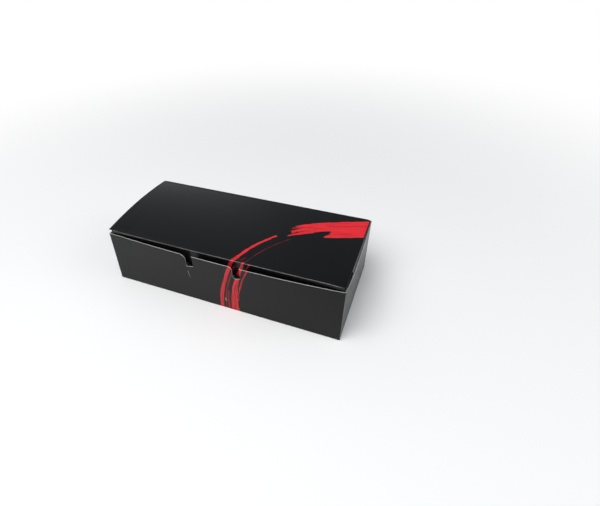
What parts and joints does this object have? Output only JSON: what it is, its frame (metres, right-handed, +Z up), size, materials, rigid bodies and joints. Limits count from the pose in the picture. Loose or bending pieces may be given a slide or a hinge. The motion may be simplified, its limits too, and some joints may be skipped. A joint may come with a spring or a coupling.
{
  "type": "folded paperboard takeaway box with hinged tuck lid",
  "caption": "Oblong takeaway food box folded from black printed board, with a bowed notched front wall and a hinged lid with a tuck flap.",
  "frame": {"origin": "middle of the tray's footprint, on the surface that the box stands on", "axes": "+X along the box's length to the right seen from the front, +Y towards the lid's hinge, +Z up"},
  "size_m": [0.1576, 0.0729, 0.0432],
  "materials": {
    "black_board": "satin black print on white-cored paperboard, white inside and at the cut edges",
    "red_ink": "satin red print"
  },
  "bodies": {
    "base": {"tray": "black_board", "front_print": "red_ink"},
    "cover": {"lid": "black_board", "lid_print": "red_ink"}
  },
  "joints": [
    {"name": "lid_hinge", "type": "hinge", "parent": "base", "child": "cover", "pos_m": [0, 0.03478, 0.03943], "axis": [-1, 0, 0], "range_deg": [0, 177]}
  ]
}
